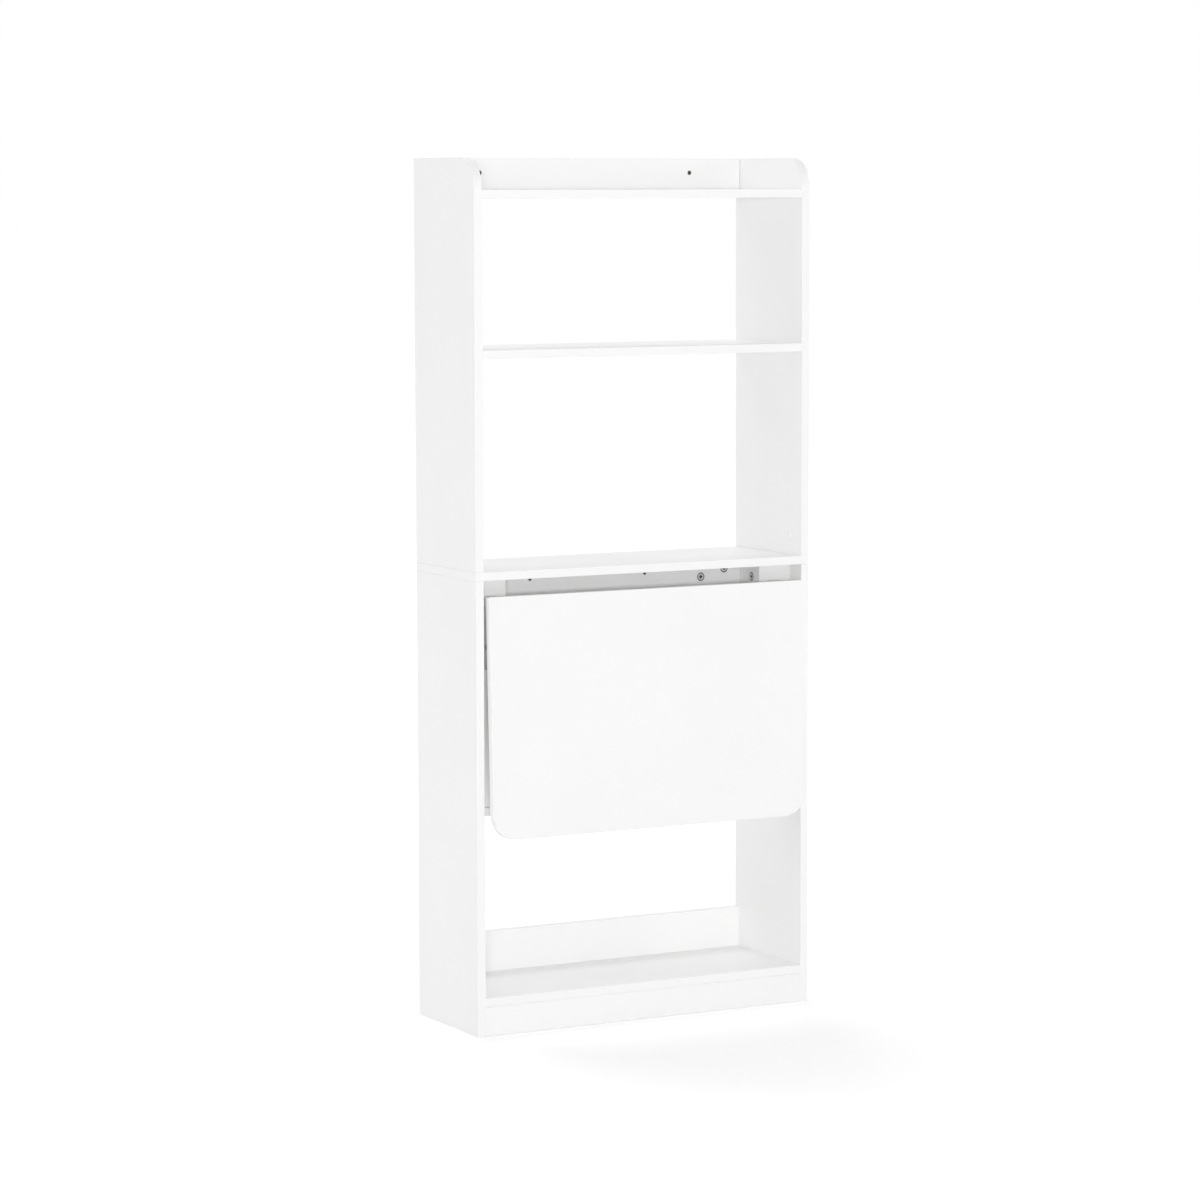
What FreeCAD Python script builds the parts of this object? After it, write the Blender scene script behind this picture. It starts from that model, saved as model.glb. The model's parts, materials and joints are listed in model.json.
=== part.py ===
import FreeCAD, Part
import math
import os

# Tall shelf unit with a fold-up desk leaf. Millimetres, +Z up, the front faces -Y.
# The origin is on the floor, in the middle of the box around the folded unit.

# Carcass
width = 660.0               # over the outer faces of the sides
depth = 230.0               # front edge to back edge of the sides
height = 1500.0             # floor to the top of the upper sides
board = 15.0                # thickness of every board
board_edge = 0.8            # rounding of the board edges
side_corner = 50.0          # front top corner of the upper sides
middle_level = 800.0        # floor to the top of the middle board
upper_shelf_level = 1176.0  # floor to the top of the upper shelf
top_rail_height = 54.0      # rail on the top shelf, level with the sides
top_rail_end_gap = 0.7      # open joint at each end of that rail
plinth_height = 51.0
bottom_rail_height = 73.0
wall_hole_radius = 4.0
wall_hole_spacing = 420.0
wall_hole_drop = 25.0       # top of the rail to the hole

# Niche behind the leaf
stile_setback = 40.0        # front edge of the sides to the front of the stiles
stile_width = 63.0
niche_depth = 65.0          # front of the stiles to the back panel
niche_height = 395.0        # niche floor to the middle board
stile_foot_gap = 0.9        # open joint under the stiles
panel_end_gap = 0.5         # open joint at each end of the back panel
open_bore_radius = 3.2      # two empty bores in the back panel
open_bore_cover = 3.0       # board left behind an empty bore
open_bore_drop = 12.0       # middle board to the bore
open_bore_inset = 80.0      # left end of the back panel to the first empty bore
open_bore_place = 56.0      # middle of the unit to the second one

# Desk leaf
leaf_thickness = 15.0
leaf_side_gap = 5.0         # leaf to each side
leaf_top_gap = 28.0         # middle board to the leaf's upper edge
leaf_length = 417.0
leaf_corner = 42.0          # corners of the free edge
leaf_heel_corner = 2.5      # corners at the pivot end
leaf_edge = 1.2             # rounding of the leaf's edges
leaf_heel = 13.5            # upper edge to the pivot axis
rest_lean = 2.1             # degrees out of upright when folded
raised_angle = 90.0         # degrees out of upright when in use

# Folding brackets
bracket_inset = 31.5        # side to the middle of the bracket
pivot_standoff = 20.0       # front of the stile to the pivot axis
leaf_standoff = 16.0        # pivot axis to the back of the leaf
ear_radius = 9.0            # sheet around the pivot pin
arm_width = 30.0
arm_sheet = 1.5
arm_skirt = 3.0             # flange of the arm past the pivot axis
arm_tail = 12.0             # arm beyond the folded slide bush
arm_end_cut = 10.0          # slanted corner at the free end of the arm
base_sheet = 2.0
base_rise = 13.0            # plate above the pivot axis
base_drop = 114.0           # plate below the pivot axis
base_boss = 8.5             # flange in front of the brace pin
brace_sheet = 2.0
brace_half = 6.5            # half the depth of the brace
brace_drop = 75.0           # pivot axis down to the brace pin
brace_setback = 8.0         # pivot axis back to the brace pin
brace_reach = 108.0         # pivot axis out to the slide bush, leaf raised
brace_back_start = 14.0     # brace pin to the back of the brace
brace_back_end = 16.0       # back of the brace to the slide bush
bush_radius = 8.5
side_play = 0.5             # between nested channels
bush_play = 0.3             # slide bush to the arm
stop_play = 0.3             # folded brace to the lip of the base

# Lock lever in each arm
lever_sheet = 4.0
lever_angle = 7.0           # degrees from released to locked
lever_nose_gap = 0.9        # locked nose to the slide bush
lever_nose = 1.8            # height of the nose
lever_top_gap = 0.5         # released nose to the arm
lever_length = 47.6         # nose to the lever pin
lever_end_gap = 11.5        # end of the finger tab to the folded slide bush
lever_tab_width = 12.0
lever_tab = 2.5
lever_pin_gap = 3.8         # arm to the lever pin
lever_boss_radius = 3.2

# Pins and screws
pivot_pin_radius = 3.0
brace_pin_radius = 3.0
axle_radius = 2.5
lever_pin_radius = 2.0
rivet_head = 1.2
rivet_head_overlap = 2.0    # rivet head around its hole
turning_play = 0.05         # pin in the piece that turns on it
fixed_play = 0.02           # pin in the piece that holds it
screw_radius = 1.75
screw_cover = 4.0           # board left beyond a screw's point
screw_head_radius = 3.5
screw_head = 1.8
screw_cross = 4.0
screw_cross_slot = 0.9
screw_cross_depth = 1.0
arm_screw_gap = 2.5         # screw head to the flange of the arm
base_screw_gap = 0.5        # screw head to the flange of the base
arm_screw_places = (40.0, 85.0)
arm_end_screw = 6.5         # free end of the arm to the last screws
base_screw_places = (28.0, 98.0)

# Fittings between the boards
cam_radius = 7.5
cam_cover = 2.5             # board left behind a cam
cam_reach = 34.0            # board end to the cam
short_cam_reach = 24.0      # board end to the cam, at the top of the niche
cam_cross = 6.0
cam_cross_slot = 1.6
cam_cross_depth = 1.8
bolt_radius = 3.0
bolt_neck_radius = 2.0
bolt_neck = 4.0
bolt_bore_play = 0.5
thread_radius = 2.5
bolt_cover = 4.0            # board left beyond a bolt
cap_radius = 9.0
cap_height = 1.2
cap_edge = 0.5
dowel_radius = 4.0
dowel_in_edge = 20.0
dowel_cover = 5.0           # board left beyond a dowel
bore_end_play = 0.5         # empty end of a blind bore
fitting_play = 0.05
shelf_cam_inset = 35.0      # board edge to the cam
fitting_step = 32.0         # cam to the next dowel
upper_side_cam_inset = 45.0
upper_side_dowel_inset = 90.0
lower_side_cam_inset = 65.0  # back edge to the rear cam of a lower side
lower_side_cam_gap = 10.0   # stile to the front cam of a lower side
lower_side_dowel_inset = 20.0
rail_cam_height = 17.0      # lower edge of a rail to its cam
rail_dowel_inset = 14.0     # upper edge of a rail to its dowel
long_dowel_place = 150.0    # middle of the unit to the dowels along a rail
plinth_dowel_height = 12.0
niche_dowel_inset = 14.0
stile_cam_height = 50.0     # niche floor to the lower cam of a stile
stile_cam_drop = 195.0      # middle board to the upper cam of a stile
stile_dowel_height = 110.0
stile_dowel_drop = 35.0
partition_dowel_height = 60.0
partition_dowel_drop = 65.0
partition_cam_inset = 12.0
partition_dowel_step = 28.0
panel_cam_drop = 11.0       # middle board to the upper right end cam of the back panel
panel_top_dowel_drop = 40.0  # middle board to the upper left end dowel
panel_cam_height = 30.0     # niche floor to the lower end cams of the back panel
panel_top_cam_inset = 81.5  # right end of the back panel to its upper cam
panel_dowel_height = 190.0
panel_dowel_place = 100.0


def vec(x, y, z):
    return FreeCAD.Vector(x, y, z)


right_way = vec(1, 0, 0)
back_way = vec(0, 1, 0)
up_way = vec(0, 0, 1)
down_way = vec(0, 0, -1)
front_way = vec(0, -1, 0)
turn_axis = vec(-1, 0, 0)


def turned_out(angle):
    """Directions along a hanging piece and out of its front face, leaned out by an angle."""
    slant = math.radians(angle)
    along = vec(0, -math.sin(slant), -math.cos(slant))
    outward = vec(0, -math.cos(slant), math.sin(slant))
    return along, outward


# Places that follow from the sizes
half_width = width / 2
inner_half = half_width - board
middle_under = middle_level - board
niche_floor = middle_under - niche_height
top_shelf_level = height - top_rail_height
bottom_shelf_level = plinth_height + board
cam_depth = board - cam_cover
thread_depth = board - bolt_cover
dowel_in_face = board - dowel_cover
bolt_bore_radius = bolt_radius + bolt_bore_play
base_screw_length = base_sheet + board - screw_cover
arm_screw_length = arm_sheet + leaf_thickness - screw_cover
leaf_rest_along, leaf_rest_out = turned_out(rest_lean)
leaf_foot = leaf_length - leaf_heel
leaf_foot_reach = (
    leaf_rest_along * (leaf_foot - leaf_edge)
    + leaf_rest_out * (leaf_standoff + leaf_thickness - leaf_edge)
).dot(front_way) + leaf_edge
pivot_setback = stile_setback - pivot_standoff
overhang = leaf_foot_reach - pivot_setback
back_y = (depth + overhang) / 2
front_y = back_y - depth
stile_front = front_y + stile_setback
stile_back = stile_front + board
panel_front = stile_front + niche_depth
panel_back = panel_front + board
stile_inner = inner_half - stile_width
bracket_place = inner_half - bracket_inset
pivot = vec(0, front_y + pivot_setback, middle_under - leaf_top_gap - leaf_heel)

# Travel of the brace: its slide bush touches the arm when folded and when raised
arm_web = leaf_standoff - arm_sheet
bush_line = arm_web - bush_radius - bush_play
brace_pin = pivot + vec(0, brace_setback, -brace_drop)
raised_along, raised_out = turned_out(raised_angle)
raised_bush = pivot + raised_along * brace_reach + raised_out * bush_line
brace_length = (raised_bush - brace_pin).Length
pin_along = (brace_pin - pivot).dot(leaf_rest_along)
pin_out = (brace_pin - pivot).dot(leaf_rest_out)
folded_reach = pin_along + math.sqrt(brace_length**2 - (bush_line - pin_out) ** 2)
folded_bush = pivot + leaf_rest_along * folded_reach + leaf_rest_out * bush_line


def lean_of(direction):
    """Degrees that a direction leans out to the front from straight down."""
    return math.degrees(math.atan2(-direction.y, -direction.z))


brace_rest_lean = lean_of(folded_bush - brace_pin)
brace_raised_lean = lean_of(raised_bush - brace_pin)
leaf_travel = raised_angle - rest_lean
brace_travel = brace_raised_lean - brace_rest_lean
arm_end = folded_reach + bush_radius + arm_tail

# Half widths of the nested bracket channels
arm_half = arm_width / 2
arm_inside = arm_half - arm_sheet
base_half = arm_inside - side_play
base_inside = base_half - base_sheet
brace_outside = base_inside - side_play
brace_inside = brace_outside - brace_sheet
arm_screw_offset = arm_inside - screw_head_radius - arm_screw_gap
base_screw_offset = base_inside - screw_head_radius - base_screw_gap

shapes = {}
bores = {}
cams = []
bolts = []
caps = []
dowels = []


def add_board(node, x, y, z):
    low = vec(x[0], y[0], z[0])
    box = Part.makeBox(x[1] - x[0], y[1] - y[0], z[1] - z[0], low)
    shapes[node] = box.makeFillet(board_edge, box.Edges)
    bores[node] = []


def add_upper_side(node, x):
    top_bend = vec(x, front_y + side_corner, height)
    front_bend = vec(x, front_y, height - side_corner)
    diagonal = side_corner * (1 - math.sqrt(0.5))
    bend_middle = vec(x, front_y + diagonal, height - diagonal)
    low_front = vec(x, front_y, middle_level)
    low_back = vec(x, back_y, middle_level)
    high_back = vec(x, back_y, height)
    outline = Part.Wire([
        Part.makeLine(low_front, front_bend),
        Part.Arc(front_bend, bend_middle, top_bend).toShape(),
        Part.makeLine(top_bend, high_back),
        Part.makeLine(high_back, low_back),
        Part.makeLine(low_back, low_front),
    ])
    panel = Part.Face(outline).extrude(right_way * board)
    shapes[node] = panel.makeFillet(board_edge, panel.Edges)
    bores[node] = []


def cut_bore(node, start, way, radius, length):
    """Bore from a face of a board; it starts a little outside so that the mouth is clean."""
    lead = 1.0
    bores[node].append(Part.makeCylinder(radius, length + lead, start - way * lead, way))


def cross_recess(centre, inward, across, length, slot, recess_depth):
    """Two crossed slots for a screwdriver, in a face with its middle at the centre."""
    upright = across.cross(inward)
    slots = []
    for along_way, slot_way in ((across, upright), (upright, across)):
        corner = centre - along_way * (length / 2) - slot_way * (slot / 2)
        far_corner = corner + along_way * length
        outline = [corner, far_corner, far_corner + slot_way * slot, corner + slot_way * slot, corner]
        slots.append(Part.Face(Part.makePolygon(outline)).extrude(inward * recess_depth))
    return slots


def cam_joint(edge_node, face_node, place, toward, opening, reach=cam_reach, capped=False):
    """Cam in one board, at a distance from its end, and its bolt in the face of the next one.

    place is the middle of the meeting faces, toward points into the face of the next board and
    opening is the side on which the cam shows.
    """
    centre = place - toward * reach
    rim = centre + opening * (board / 2)
    cut_bore(edge_node, rim, -opening, cam_radius + fitting_play, cam_depth + fitting_play)
    bores[edge_node].append(Part.makeCylinder(bolt_bore_radius, reach, centre, toward))
    cut_bore(face_node, place, toward, thread_radius + fitting_play, thread_depth + fitting_play)

    cam = Part.makeCylinder(cam_radius, cam_depth, rim, -opening)
    socket_start = centre - toward * bolt_neck
    cam = cam.cut(Part.makeCylinder(bolt_bore_radius, bolt_neck + cam_radius, socket_start, toward))
    cam = cam.cut(cross_recess(rim, -opening, toward, cam_cross, cam_cross_slot, cam_cross_depth))
    cams.append(cam)

    bolt_head = Part.makeCylinder(bolt_radius, bolt_neck, centre, toward)
    neck_start = centre + toward * bolt_neck
    bolt_waist = Part.makeCylinder(bolt_neck_radius, bolt_neck, neck_start, toward)
    shank_start = neck_start + toward * bolt_neck
    shank = Part.makeCylinder(bolt_radius, reach - 2 * bolt_neck, shank_start, toward)
    thread = Part.makeCylinder(thread_radius, thread_depth, place, toward)
    bolts.append(bolt_head.fuse([bolt_waist, shank, thread]))

    if capped:
        cap = Part.makeCylinder(cap_radius, cap_height, rim, opening)
        outer_rim = [edge for edge in cap.Edges
                     if (edge.CenterOfMass - rim).dot(opening) > cap_height / 2 and edge.Closed]
        caps.append(cap.makeFillet(cap_edge, outer_rim))


def dowel_joint(edge_node, face_node, place, toward):
    """Dowel from the end of one board into the face of the next one."""
    hole_radius = dowel_radius + fitting_play
    cut_bore(edge_node, place, -toward, hole_radius, dowel_in_edge + bore_end_play)
    cut_bore(face_node, place, toward, hole_radius, dowel_in_face + bore_end_play)
    start = place - toward * dowel_in_edge
    dowels.append(Part.makeCylinder(dowel_radius, dowel_in_edge + dowel_in_face, start, toward))


def make_boards():
    across = (-inner_half, inner_half)
    through = (front_y, back_y)
    rail_y = (back_y - board, back_y)
    for side, x in (("left", -half_width), ("right", inner_half)):
        add_board(side + "_lower_side", (x, x + board), through, (0, middle_under))
        add_upper_side(side + "_upper_side", x)
    add_board("middle_board", (-half_width, half_width), through, (middle_under, middle_level))
    for node, level in (
        ("top_shelf", top_shelf_level),
        ("upper_shelf", upper_shelf_level),
        ("bottom_shelf", bottom_shelf_level),
    ):
        add_board(node, across, through, (level - board, level))
    top_rail_x = (top_rail_end_gap - inner_half, inner_half - top_rail_end_gap)
    add_board("top_back_rail", top_rail_x, rail_y, (top_shelf_level, height))
    bottom_rail_top = bottom_shelf_level + bottom_rail_height
    add_board("bottom_back_rail", across, rail_y, (bottom_shelf_level, bottom_rail_top))
    add_board("plinth_board", across, (front_y, front_y + board), (0, plinth_height))

    niche_z = (niche_floor, middle_under)
    for side, stile_x, partition_x in (
        ("left", -inner_half, -stile_inner - board),
        ("right", stile_inner, stile_inner),
    ):
        stile_z = (niche_floor + stile_foot_gap, middle_under)
        add_board(side + "_stile", (stile_x, stile_x + stile_width), (stile_front, stile_back), stile_z)
        wall_x = (partition_x, partition_x + board)
        add_board(side + "_partition", wall_x, (stile_back, panel_back), niche_z)
    panel_x = (panel_end_gap - stile_inner, stile_inner - panel_end_gap)
    add_board("desk_back_panel", panel_x, (panel_front, panel_back), niche_z)
    floor_z = (niche_floor - board, niche_floor)
    add_board("desk_floor_board", across, (stile_front, panel_back), floor_z)

    for sign in (-1, 1):
        hole = vec(sign * wall_hole_spacing / 2, back_y - board, height - wall_hole_drop)
        cut_bore("top_back_rail", hole, back_way, wall_hole_radius, board + wall_hole_radius)
    for x in (open_bore_inset - stile_inner, open_bore_place):
        mouth = vec(x, panel_front, middle_under - open_bore_drop)
        cut_bore("desk_back_panel", mouth, back_way, open_bore_radius, board - open_bore_cover)


def join_carcass():
    for sign, side in ((-1, "left"), (1, "right")):
        outward = right_way * sign
        inner_x = sign * inner_half
        wall_x = inner_x + sign * board / 2
        upper_side = side + "_upper_side"
        lower_side = side + "_lower_side"
        for shelf, level, face in (
            ("top_shelf", top_shelf_level, upper_side),
            ("upper_shelf", upper_shelf_level, upper_side),
            ("bottom_shelf", bottom_shelf_level, lower_side),
        ):
            for edge_y, inward in ((front_y, 1), (back_y, -1)):
                place = vec(inner_x, edge_y + inward * shelf_cam_inset, level - board / 2)
                cam_joint(shelf, face, place, outward, down_way)
                dowel_joint(shelf, face, place + back_way * inward * fitting_step, outward)

        place = vec(wall_x, front_y + upper_side_cam_inset, middle_level)
        cam_joint(upper_side, "middle_board", place, down_way, -outward, capped=True)
        for edge_y, inward in ((front_y, 1), (back_y, -1)):
            place = vec(wall_x, edge_y + inward * upper_side_dowel_inset, middle_level)
            dowel_joint(upper_side, "middle_board", place, down_way)
            place = vec(wall_x, edge_y + inward * lower_side_dowel_inset, middle_under)
            dowel_joint(lower_side, "middle_board", place, up_way)

        for y in (stile_back + lower_side_cam_gap, back_y - lower_side_cam_inset):
            cam_joint(lower_side, "middle_board", vec(wall_x, y, middle_under), up_way, -outward)

        rail_y = back_y - board / 2
        for rail, face, low, high in (
            ("top_back_rail", upper_side, top_shelf_level, height),
            ("bottom_back_rail", lower_side, bottom_shelf_level, bottom_shelf_level + bottom_rail_height),
        ):
            cam_joint(rail, face, vec(inner_x, rail_y, low + rail_cam_height), outward, back_way)
            dowel_joint(rail, face, vec(inner_x, rail_y, high - rail_dowel_inset), outward)
        plinth_y = front_y + board / 2
        place = vec(inner_x, plinth_y, plinth_height - rail_cam_height)
        cam_joint("plinth_board", lower_side, place, outward, back_way)
        dowel_joint("plinth_board", lower_side, vec(inner_x, plinth_y, plinth_dowel_height), outward)

        long_x = sign * long_dowel_place
        dowel_joint("top_back_rail", "top_shelf", vec(long_x, rail_y, top_shelf_level), down_way)
        dowel_joint("bottom_back_rail", "bottom_shelf", vec(long_x, rail_y, bottom_shelf_level), down_way)
        dowel_joint("plinth_board", "bottom_shelf", vec(long_x, plinth_y, plinth_height), up_way)


def join_niche():
    stile_y = stile_front + board / 2
    panel_y = panel_front + board / 2
    floor_middle = niche_floor - board / 2
    for sign, side in ((-1, "left"), (1, "right")):
        outward = right_way * sign
        inner_x = sign * inner_half
        lower_side = side + "_lower_side"
        stile = side + "_stile"
        partition = side + "_partition"

        floor_y = (stile_front + panel_back) / 2
        cam_joint("desk_floor_board", lower_side, vec(inner_x, floor_y, floor_middle), outward, down_way)
        for y in (stile_front + niche_dowel_inset, panel_back - niche_dowel_inset):
            dowel_joint("desk_floor_board", lower_side, vec(inner_x, y, floor_middle), outward)

        for z in (niche_floor + stile_cam_height, middle_under - stile_cam_drop):
            cam_joint(stile, lower_side, vec(inner_x, stile_y, z), outward, back_way)
        for z in (niche_floor + stile_dowel_height, middle_under - stile_dowel_drop):
            dowel_joint(stile, lower_side, vec(inner_x, stile_y, z), outward)
        stile_middle = sign * (stile_inner + stile_width / 2)
        dowel_joint(stile, "desk_floor_board", vec(stile_middle, stile_y, niche_floor), down_way)
        dowel_joint(stile, "middle_board", vec(stile_middle, stile_y, middle_under), up_way)

        wall_x = sign * (stile_inner + board / 2)
        for z in (niche_floor + partition_dowel_height, middle_under - partition_dowel_drop):
            dowel_joint(partition, stile, vec(wall_x, stile_back, z), front_way)
        cam_y = stile_back + partition_cam_inset
        place = vec(wall_x, cam_y, middle_under)
        cam_joint(partition, "middle_board", place, up_way, -outward, reach=short_cam_reach)
        dowel_y = cam_y + partition_dowel_step
        dowel_joint(partition, "middle_board", vec(wall_x, dowel_y, middle_under), up_way)
        dowel_joint(partition, "desk_floor_board", vec(wall_x, dowel_y, niche_floor), down_way)

        end_x = sign * stile_inner
        place = vec(end_x, panel_y, niche_floor + panel_cam_height)
        cam_joint("desk_back_panel", partition, place, outward, front_way)
        place = vec(end_x, panel_y, niche_floor + panel_dowel_height)
        dowel_joint("desk_back_panel", partition, place, outward)
        top_x = sign * panel_dowel_place
        dowel_joint("desk_back_panel", "middle_board", vec(top_x, panel_y, middle_under), up_way)
        long_x = sign * long_dowel_place
        dowel_joint("desk_back_panel", "desk_floor_board", vec(long_x, panel_y, niche_floor), down_way)
    place = vec(stile_inner, panel_y, middle_under - panel_cam_drop)
    cam_joint("desk_back_panel", "right_partition", place, right_way, front_way)
    place = vec(-stile_inner, panel_y, middle_under - panel_top_dowel_drop)
    dowel_joint("desk_back_panel", "left_partition", place, -right_way)
    place = vec(stile_inner - panel_top_cam_inset, panel_y, middle_under)
    cam_joint("desk_back_panel", "middle_board", place, up_way, front_way, reach=short_cam_reach)


# Bracket pieces are drawn hanging straight down from their own pin, in the middle of the unit.
# A point is (along, out): along the piece from the pin, and out towards the front.


def hanging(pin, along, out, x=0.0):
    return pin + vec(x, -out, -along)


def sheet(pin, points, x_low, x_high):
    """Flat sheet with the given outline, between two planes across the bracket."""
    corners = [hanging(pin, along, out, x_low) for along, out in points]
    outline = Part.makePolygon(corners + corners[:1])
    return Part.Face(outline).extrude(right_way * (x_high - x_low))


def rectangle(along, out):
    return [(along[0], out[0]), (along[1], out[0]), (along[1], out[1]), (along[0], out[1])]


def rod(pin, along, out, radius, x_low, x_high):
    return Part.makeCylinder(radius, x_high - x_low, hanging(pin, along, out, x_low), right_way)


def rivet(pin, along, out, radius, half_grip):
    """Pin with a head on each side of what it holds."""
    head_radius = radius + rivet_head_overlap
    end = half_grip + rivet_head
    return rod(pin, along, out, radius, -end, end).fuse([
        rod(pin, along, out, head_radius, half_grip, end),
        rod(pin, along, out, head_radius, -end, -half_grip),
    ])


def screw(head_seat, way, length):
    """Pan head screw: the seat is under its head and the way is the way it drives."""
    shank = Part.makeCylinder(screw_radius, length, head_seat, way)
    head = Part.makeCylinder(screw_head_radius, screw_head, head_seat, -way)
    top_rim = [edge for edge in head.Edges
               if (edge.CenterOfMass - head_seat).dot(-way) > screw_head / 2 and edge.Closed]
    head = head.makeFillet(screw_head / 2, top_rim)
    crown = head_seat - way * screw_head
    head = head.cut(cross_recess(crown, way, right_way, screw_cross, screw_cross_slot, screw_cross_depth))
    return shank.fuse(head)


def lean_out(shape, pin, angle):
    leaned = shape.copy()
    leaned.rotate(pin, turn_axis, angle)
    return leaned


def screw_holes(seats, way, length):
    return [Part.makeCylinder(screw_radius + fixed_play, length + bore_end_play, seat, way)
            for seat in seats]


def screw_seats(places, offset, out):
    return [hanging(pivot, along, out, x) for along in places for x in (-offset, offset)]


def arm_seats():
    places = arm_screw_places + (arm_end - arm_end_screw,)
    return screw_seats(places, arm_screw_offset, arm_web)


def base_seats():
    return screw_seats(base_screw_places, base_screw_offset, base_sheet - pivot_standoff)


def arm_shape():
    shaft_end = rectangle((0, arm_end), (-arm_skirt, leaf_standoff))
    shaft_end[1:2] = [(arm_end - arm_end_cut, -arm_skirt), (arm_end, arm_end_cut - arm_skirt)]
    heel = rectangle((-ear_radius, 0), (0, leaf_standoff))
    web = rectangle((-ear_radius, arm_end), (arm_web, leaf_standoff))
    pieces = [sheet(pivot, web, -arm_half, arm_half)]
    for low in (-arm_half, arm_inside):
        high = low + arm_sheet
        pieces.append(sheet(pivot, shaft_end, low, high))
        pieces.append(sheet(pivot, heel, low, high))
        pieces.append(rod(pivot, 0, 0, ear_radius, low, high))
    arm = pieces[0].fuse(pieces[1:]).removeSplitter()
    holes = screw_holes(arm_seats(), front_way, arm_screw_length)
    holes.append(rod(pivot, 0, 0, pivot_pin_radius + turning_play, -arm_width, arm_width))
    lever_along, lever_out = lever_pin_place()
    holes.append(rod(pivot, lever_along, lever_out, lever_pin_radius + fixed_play, -arm_width, arm_width))
    return arm.cut(holes)


def base_shape():
    pin_along, pin_out = brace_drop, -brace_setback
    front = pin_out + base_boss
    plate = rectangle((-base_rise, base_drop), (-pivot_standoff, base_sheet - pivot_standoff))
    flange = rectangle((-ear_radius, base_drop), (-pivot_standoff, front))
    ear_neck = rectangle((-ear_radius, ear_radius), (-pivot_standoff, 0))
    lip_top = base_drop - base_sheet - brace_drop
    slant = math.radians(brace_rest_lean)
    brace_back = pin_out + lip_top * math.tan(slant) - brace_half / math.cos(slant)
    lip = rectangle((base_drop - base_sheet, base_drop), (-pivot_standoff, brace_back - stop_play))
    pieces = [sheet(pivot, plate, -base_half, base_half), sheet(pivot, lip, -base_half, base_half)]
    for low in (-base_half, base_inside):
        high = low + base_sheet
        pieces.append(sheet(pivot, flange, low, high))
        pieces.append(sheet(pivot, ear_neck, low, high))
        pieces.append(rod(pivot, 0, 0, ear_radius, low, high))
    base = pieces[0].fuse(pieces[1:]).removeSplitter()
    holes = screw_holes(base_seats(), back_way, base_screw_length)
    holes.append(rod(pivot, 0, 0, pivot_pin_radius + fixed_play, -arm_width, arm_width))
    holes.append(rod(pivot, pin_along, pin_out, brace_pin_radius + fixed_play, -arm_width, arm_width))
    return base.cut(holes)


def brace_shape():
    bar = rectangle((0, brace_length), (-brace_half, brace_half))
    back_run = (brace_back_start, brace_length - brace_back_end)
    back = rectangle(back_run, (-brace_half, brace_sheet - brace_half))
    pieces = [sheet(brace_pin, back, -brace_inside, brace_inside)]
    for low in (-brace_outside, brace_inside):
        high = low + brace_sheet
        pieces.append(sheet(brace_pin, bar, low, high))
        pieces.append(rod(brace_pin, 0, 0, brace_half, low, high))
        pieces.append(rod(brace_pin, brace_length, 0, brace_half, low, high))
    brace = pieces[0].fuse(pieces[1:]).removeSplitter()
    return brace.cut([
        rod(brace_pin, 0, 0, brace_pin_radius + turning_play, -arm_width, arm_width),
        rod(brace_pin, brace_length, 0, axle_radius + fixed_play, -arm_width, arm_width),
    ])


def lever_pin_place():
    """Place of the lever pin on the arm, so that the locked nose stands behind the slide bush."""
    nose = brace_reach + bush_radius + lever_nose_gap
    return nose + lever_length, arm_web - lever_pin_gap


def lever_shape():
    along, out = lever_pin_place()
    nose_top = arm_web - lever_top_gap
    tab_low = out - lever_boss_radius - lever_tab
    lever_tail = folded_reach - bush_radius - lever_end_gap - along
    blade = sheet(pivot, [
        (along - lever_length, nose_top),
        (along - lever_length, nose_top - lever_nose),
        (along - lever_boss_radius, out - lever_boss_radius),
        (along + lever_boss_radius, tab_low),
        (along + lever_tail, tab_low),
        (along + lever_tail, tab_low + lever_tab),
        (along + lever_boss_radius, out + lever_boss_radius),
        (along, nose_top),
    ], -lever_sheet / 2, lever_sheet / 2)
    tab_start = along + lever_tail - lever_tab_width
    tab = sheet(pivot, rectangle((tab_start, along + lever_tail), (tab_low, tab_low + lever_tab)),
                -lever_tab_width / 2, lever_tab_width / 2)
    boss_half = arm_inside - bush_play
    boss = rod(pivot, along, out, lever_boss_radius, -boss_half, boss_half)
    lever = blade.fuse([tab, boss]).removeSplitter()
    return lever.cut(rod(pivot, along, out, lever_pin_radius + turning_play, -arm_width, arm_width))


def leaf_shape():
    half = inner_half - leaf_side_gap
    corner = hanging(pivot, leaf_foot, leaf_standoff + leaf_thickness, -half)
    leaf = Part.makeBox(2 * half, leaf_thickness, leaf_length, corner)
    for along, radius in ((leaf_foot, leaf_corner), (-leaf_heel, leaf_heel_corner)):
        level = pivot.z - along
        corners = [edge for edge in leaf.Edges
                   if edge.BoundBox.ZLength < board_edge and edge.BoundBox.XLength < board_edge
                   and abs(edge.CenterOfMass.z - level) < board_edge]
        leaf = leaf.makeFillet(radius, corners)
    rims = [edge for edge in leaf.Edges if edge.BoundBox.YLength < board_edge]
    return leaf.makeFillet(leaf_edge, rims)


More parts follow.
